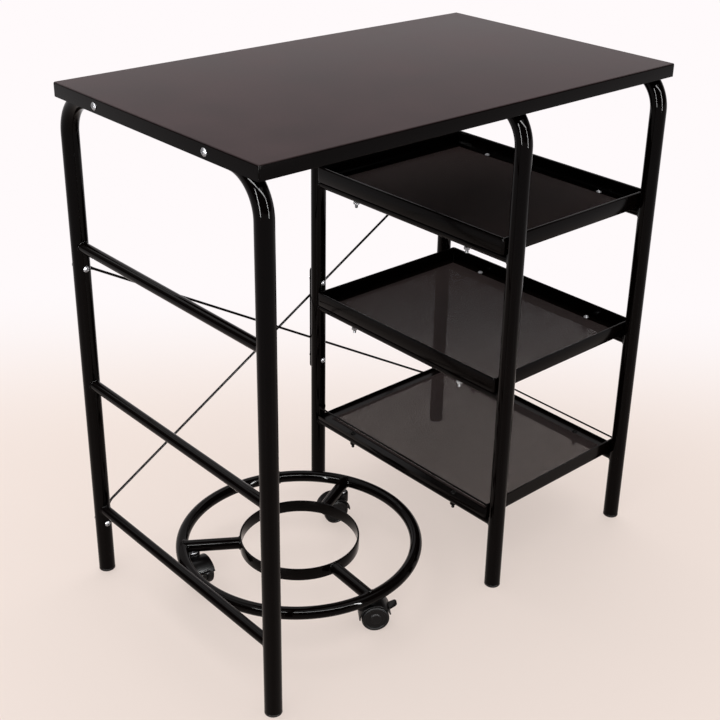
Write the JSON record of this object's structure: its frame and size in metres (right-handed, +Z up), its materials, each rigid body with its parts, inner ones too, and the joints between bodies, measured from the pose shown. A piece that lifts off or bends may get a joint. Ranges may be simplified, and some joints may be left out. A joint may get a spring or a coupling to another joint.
{
  "type": "kitchen stove table with rolling cylinder stand",
  "caption": "Black steel kitchen stove table on bent-tube frames, with mesh trays in the right bay and a round rolling stand for a gas cylinder in the left bay.",
  "frame": {"origin": "on the floor, under the centre of the table top", "axes": "+X along the table to the right as seen from the front, +Y from front to back, +Z up"},
  "size_m": [0.772, 0.4678, 0.79],
  "materials": {
    "black_paint": "gloss powder coat",
    "black_mesh": "fine powder-coated wire mesh",
    "bright_zinc": "bright zinc plate",
    "black_plastic": "moulded",
    "caster_black": "moulded"
  },
  "bodies": {
    "table": {"table_top": "black_paint", "middle_clips": "black_paint", "left_frame": "black_paint", "middle_frame": "black_paint", "right_frame": "black_paint", "left_rung_low": "black_paint", "left_rung_mid": "black_paint", "left_rung_high": "black_paint", "middle_rung_low": "black_paint", "middle_rung_mid": "black_paint", "middle_rung_high": "black_paint", "right_rung_low": "black_paint", "right_rung_mid": "black_paint", "right_rung_high": "black_paint", "left_front_foot": "black_plastic", "left_back_foot": "black_plastic", "middle_front_foot": "black_plastic", "middle_back_foot": "black_plastic", "right_front_foot": "black_plastic", "right_back_foot": "black_plastic", "top_tray_rim": "black_paint", "middle_tray_rim": "black_paint", "bottom_shelf_rim": "black_paint", "left_guard_wire": "black_paint", "right_guard_wire": "black_paint", "top_tray_mesh": "black_mesh", "middle_tray_mesh": "black_mesh", "bottom_shelf_mesh": "black_mesh", "top_bolts": "bright_zinc", "top_nuts": "bright_zinc", "tray_bolts": "bright_zinc", "tray_nuts": "bright_zinc", "brace_bolts": "bright_zinc", "brace_nuts": "bright_zinc", "falling_brace_rod": "black_paint", "rising_brace_rod": "black_paint", "brace_strip": "black_paint"},
    "stand": {"stand_outer_ring": "black_paint", "stand_inner_ring": "black_paint", "right_spoke": "black_paint", "left_spoke": "black_paint", "front_spoke": "black_paint", "right_caster_stem": "bright_zinc", "left_caster_stem": "bright_zinc", "front_caster_stem": "bright_zinc"},
    "right_caster": {"right_caster_fork": "caster_black", "right_caster_axle": "bright_zinc"},
    "right_wheel": {"right_caster_wheel": "caster_black"},
    "right_twin_wheel": {"right_caster_twin_wheel": "caster_black"},
    "left_caster": {"left_caster_fork": "caster_black", "left_caster_axle": "bright_zinc"},
    "left_wheel": {"left_caster_wheel": "caster_black"},
    "left_twin_wheel": {"left_caster_twin_wheel": "caster_black"},
    "front_caster": {"front_caster_fork": "caster_black", "front_caster_axle": "bright_zinc"},
    "front_wheel": {"front_caster_wheel": "caster_black"},
    "front_twin_wheel": {"front_caster_twin_wheel": "caster_black"}
  },
  "joints": [
    {"name": "stand_roll", "type": "slide", "parent": "table", "child": "stand", "axis": [0, -1, 0], "range_m": [0, 0.45]},
    {"name": "right_swivel", "type": "hinge", "parent": "stand", "child": "right_caster", "pos_m": [0.0099, 0.08265, 0.045], "axis": [0, 0, 1], "continuous": true},
    {"name": "right_wheel_spin", "type": "hinge", "parent": "right_caster", "child": "right_wheel", "pos_m": [-0.00244, 0.09843, 0.021], "axis": [-0.2588, -0.9659, 0], "continuous": true},
    {"name": "right_twin_spin", "type": "hinge", "parent": "right_caster", "child": "right_twin_wheel", "pos_m": [-0.00868, 0.07515, 0.021], "axis": [-0.2588, -0.9659, 0], "continuous": true},
    {"name": "left_swivel", "type": "hinge", "parent": "stand", "child": "left_caster", "pos_m": [-0.28038, 0.10294, 0.045], "axis": [0, 0, 1], "continuous": true},
    {"name": "left_wheel_spin", "type": "hinge", "parent": "left_caster", "child": "left_wheel", "pos_m": [-0.29378, 0.08806, 0.021], "axis": [0.9962, -0.0872, 0], "continuous": true},
    {"name": "left_twin_spin", "type": "hinge", "parent": "left_caster", "child": "left_twin_wheel", "pos_m": [-0.26977, 0.08596, 0.021], "axis": [0.9962, -0.0872, 0], "continuous": true},
    {"name": "front_swivel", "type": "hinge", "parent": "stand", "child": "front_caster", "pos_m": [-0.15282, -0.15859, 0.045], "axis": [0, 0, 1], "continuous": true},
    {"name": "front_wheel_spin", "type": "hinge", "parent": "front_caster", "child": "front_wheel", "pos_m": [-0.14662, -0.17764, 0.021], "axis": [0.5736, 0.8192, 0], "continuous": true},
    {"name": "front_twin_spin", "type": "hinge", "parent": "front_caster", "child": "front_twin_wheel", "pos_m": [-0.1328, -0.1579, 0.021], "axis": [0.5736, 0.8192, 0], "continuous": true}
  ]
}
